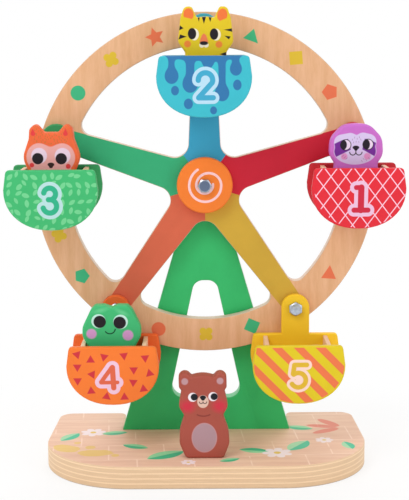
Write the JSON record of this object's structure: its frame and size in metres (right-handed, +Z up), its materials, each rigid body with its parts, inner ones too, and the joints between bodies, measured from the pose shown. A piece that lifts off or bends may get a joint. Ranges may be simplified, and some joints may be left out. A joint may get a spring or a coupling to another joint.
{
  "type": "wooden toy ferris wheel",
  "caption": "Table-top toy Ferris wheel: a spoked wooden wheel on a tapered stand and notched base board, with hanging box gondolas and flat animal figures that lift out.",
  "frame": {"origin": "on the table, under the middle of the base board", "axes": "+Z up, -Y towards the numbered fronts, +X to the right of someone who looks at them"},
  "size_m": [0.3084, 0.145, 0.3651],
  "materials": {
    "base_wood": "clear-coated birch plywood with a light print",
    "wheel_wood": "clear-coated birch plywood with painted spokes",
    "plain_wood": "clear-coated birch",
    "green_stand": "satin green paint on plywood",
    "orange_disc": "satin orange paint with a spiral",
    "steel": "zinc-plated steel",
    "red_panel": "printed paint on plywood",
    "turquoise_panel": "printed paint on plywood",
    "green_panel": "printed paint on plywood",
    "orange_panel": "printed paint on plywood",
    "yellow_panel": "printed paint on plywood",
    "tiger_paint": "printed paint on wood",
    "sloth_paint": "printed paint on wood",
    "fox_paint": "printed paint on wood",
    "frog_paint": "printed paint on wood",
    "bear_paint": "printed paint on wood"
  },
  "bodies": {
    "frame": {"base_board": "base_wood", "stand_plate": "green_stand", "stand_screws": "steel", "axle_bolt": "steel", "axle_spacer": "steel", "axle_washer": "steel", "axle_lock_nut": "steel"},
    "wheel": {"wheel_plate": "wheel_wood", "hub_disc": "orange_disc", "gondola_bolts": "steel"},
    "gondola_1": {"back_panel_1": "red_panel", "front_panel_1": "red_panel", "left_slat_1": "plain_wood", "right_slat_1": "plain_wood", "floor_1": "plain_wood"},
    "gondola_2": {"back_panel_2": "turquoise_panel", "front_panel_2": "turquoise_panel", "left_slat_2": "plain_wood", "right_slat_2": "plain_wood", "floor_2": "plain_wood"},
    "gondola_3": {"back_panel_3": "green_panel", "front_panel_3": "green_panel", "left_slat_3": "plain_wood", "right_slat_3": "plain_wood", "floor_3": "plain_wood"},
    "gondola_4": {"back_panel_4": "orange_panel", "front_panel_4": "orange_panel", "left_slat_4": "plain_wood", "right_slat_4": "plain_wood", "floor_4": "plain_wood"},
    "gondola_5": {"back_panel_5": "yellow_panel", "front_panel_5": "yellow_panel", "left_slat_5": "plain_wood", "right_slat_5": "plain_wood", "floor_5": "plain_wood"},
    "tiger": {"tiger": "tiger_paint"},
    "sloth": {"sloth": "sloth_paint"},
    "fox": {"fox": "fox_paint"},
    "frog": {"frog": "frog_paint"},
    "bear": {"bear": "bear_paint"}
  },
  "joints": [
    {"name": "wheel_spin", "type": "hinge", "parent": "frame", "child": "wheel", "pos_m": [0, 0.015, 0.2252], "axis": [0, 1, 0], "continuous": true},
    {"name": "gondola_1_hang", "type": "hinge", "parent": "wheel", "child": "gondola_1", "pos_m": [0.11793, 0.007, 0.26352], "axis": [0, 1, 0], "continuous": true},
    {"name": "gondola_2_hang", "type": "hinge", "parent": "wheel", "child": "gondola_2", "pos_m": [0, 0.007, 0.3492], "axis": [0, 1, 0], "continuous": true},
    {"name": "gondola_3_hang", "type": "hinge", "parent": "wheel", "child": "gondola_3", "pos_m": [-0.11793, 0.007, 0.26352], "axis": [0, 1, 0], "continuous": true},
    {"name": "gondola_4_hang", "type": "hinge", "parent": "wheel", "child": "gondola_4", "pos_m": [-0.07289, 0.007, 0.12488], "axis": [0, 1, 0], "continuous": true},
    {"name": "gondola_5_hang", "type": "hinge", "parent": "wheel", "child": "gondola_5", "pos_m": [0.07289, 0.007, 0.12488], "axis": [0, 1, 0], "continuous": true},
    {"name": "sloth_lift", "type": "slide", "parent": "gondola_1", "child": "sloth", "axis": [0, 0, 1], "range_m": [0, 0.045]},
    {"name": "tiger_lift", "type": "slide", "parent": "gondola_2", "child": "tiger", "axis": [0, 0, 1], "range_m": [0, 0.045]},
    {"name": "fox_lift", "type": "slide", "parent": "gondola_3", "child": "fox", "axis": [0, 0, 1], "range_m": [0, 0.045]},
    {"name": "frog_lift", "type": "slide", "parent": "gondola_4", "child": "frog", "axis": [0, 0, 1], "range_m": [0, 0.045]},
    {"name": "bear_lift", "type": "slide", "parent": "frame", "child": "bear", "axis": [0, 0, 1], "range_m": [0, 0.36]}
  ],
  "couplings": [
    {"joint": "gondola_1_hang", "follows": "wheel_spin", "ratio": -1},
    {"joint": "gondola_2_hang", "follows": "wheel_spin", "ratio": -1},
    {"joint": "gondola_3_hang", "follows": "wheel_spin", "ratio": -1},
    {"joint": "gondola_4_hang", "follows": "wheel_spin", "ratio": -1},
    {"joint": "gondola_5_hang", "follows": "wheel_spin", "ratio": -1}
  ]
}
